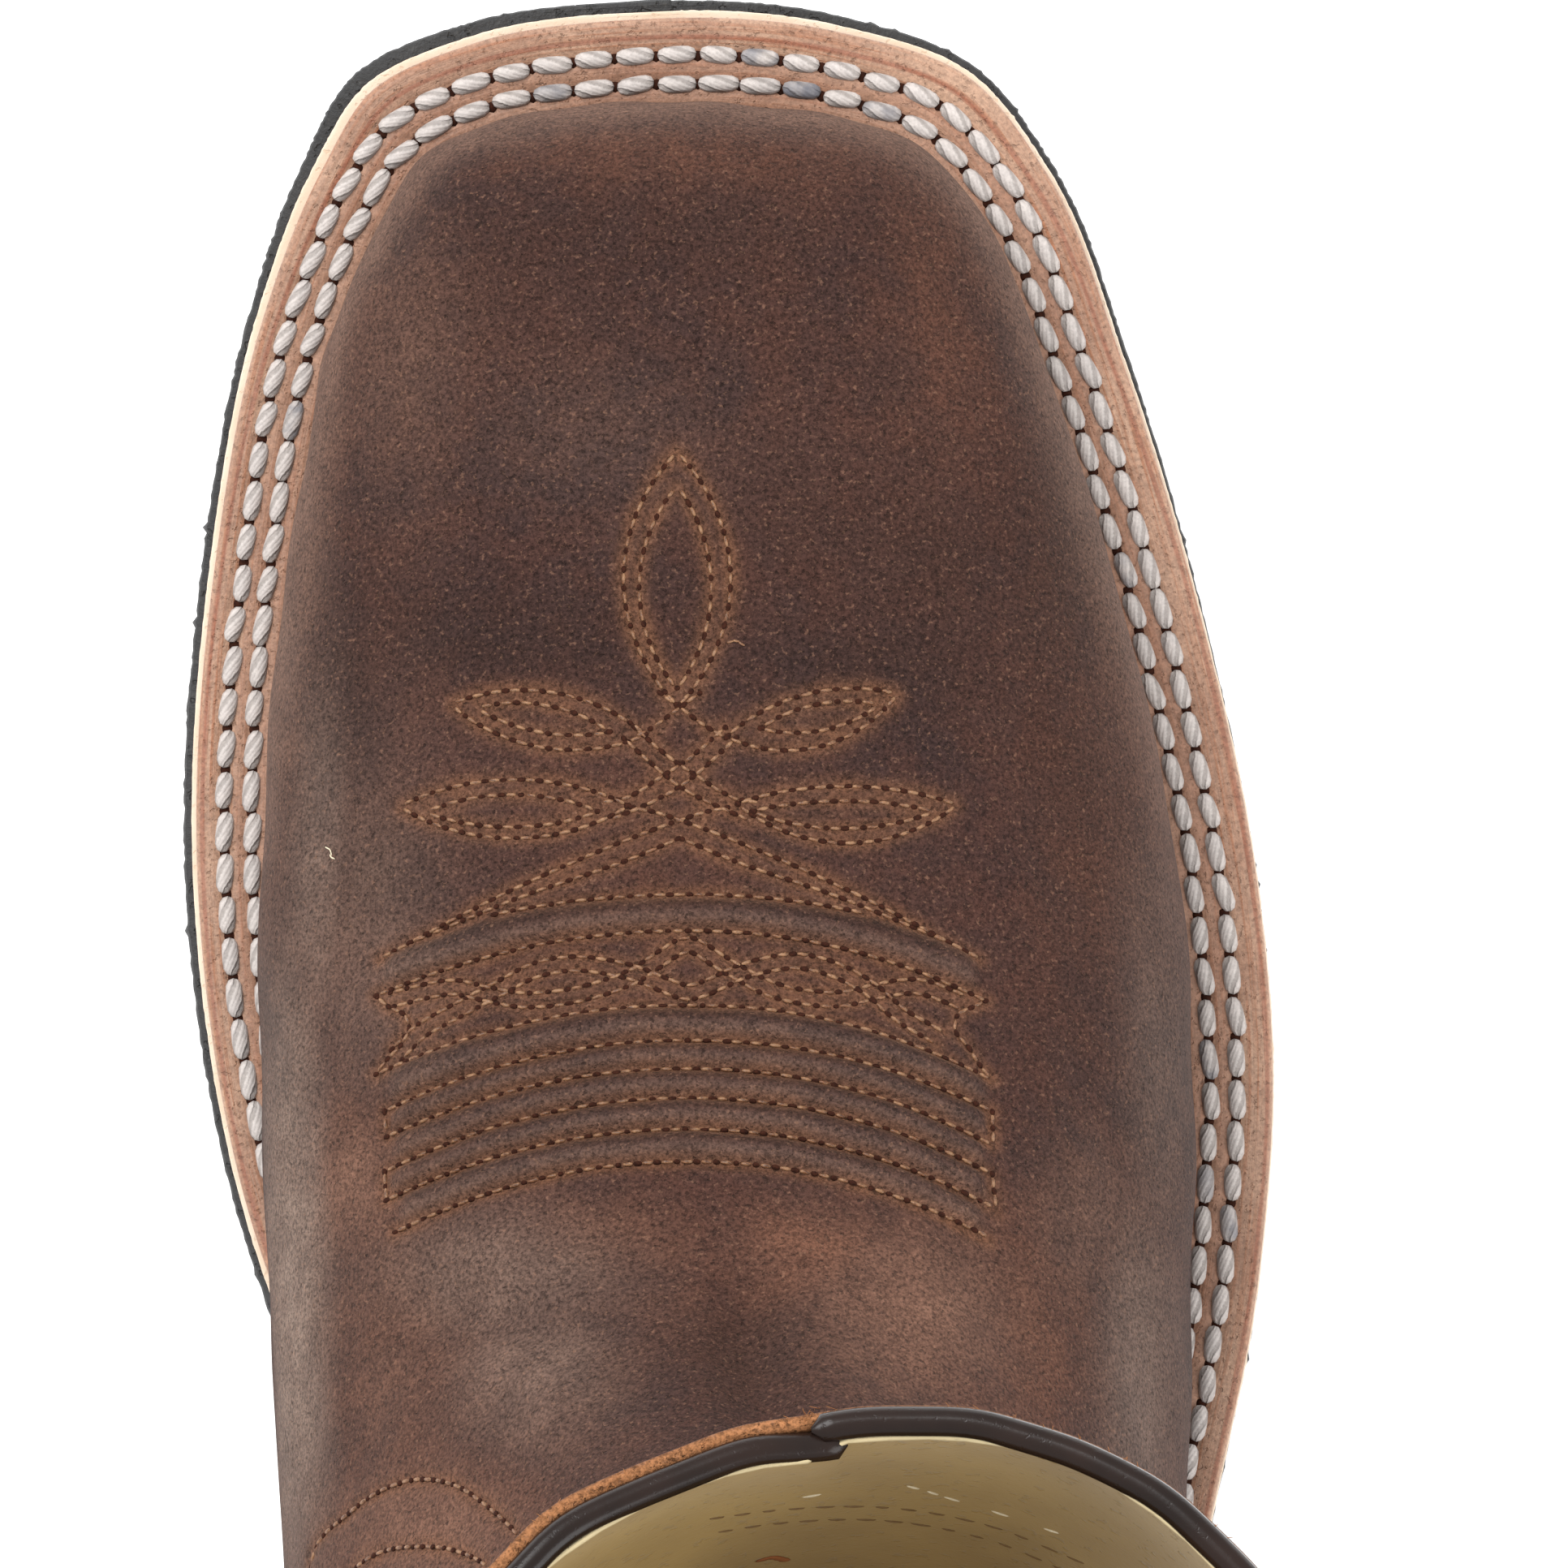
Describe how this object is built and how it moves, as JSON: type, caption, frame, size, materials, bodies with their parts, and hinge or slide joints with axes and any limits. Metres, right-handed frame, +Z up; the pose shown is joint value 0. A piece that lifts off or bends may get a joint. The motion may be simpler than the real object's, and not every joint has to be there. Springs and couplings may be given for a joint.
{
  "type": "western boot",
  "caption": "Pull-on western boot for the right foot, broad square toe, stitched leather welt, rubber outsole and low block heel, hollow and open at the collar",
  "frame": {"origin": "Middle of the boot's bounding box, on the floor plane it stands on.", "axes": "+Z up from the floor to the collar. +Y from heel to toe. +X to the outer side of the foot, across the boot."},
  "size_m": [0.1141, 0.3048, 0.3223],
  "materials": {
    "upper": "oiled nubuck, matt, mottled brown",
    "collar_bead": "smooth dark brown, slight gloss",
    "welt": "vegetable-tanned, tan",
    "midsole": "raw trimmed edge, cream",
    "outsole": "matt black",
    "heel": "stacked, burnished dark brown",
    "heel_cap": "matt black",
    "insole": "plain board, tan"
  },
  "bodies": {
    "root": {"upper": "upper", "collar_bead": "collar_bead", "welt": "welt", "midsole": "midsole", "outsole": "outsole", "heel": "heel", "heel_cap": "heel_cap", "insole": "insole"}
  },
  "joints": []
}
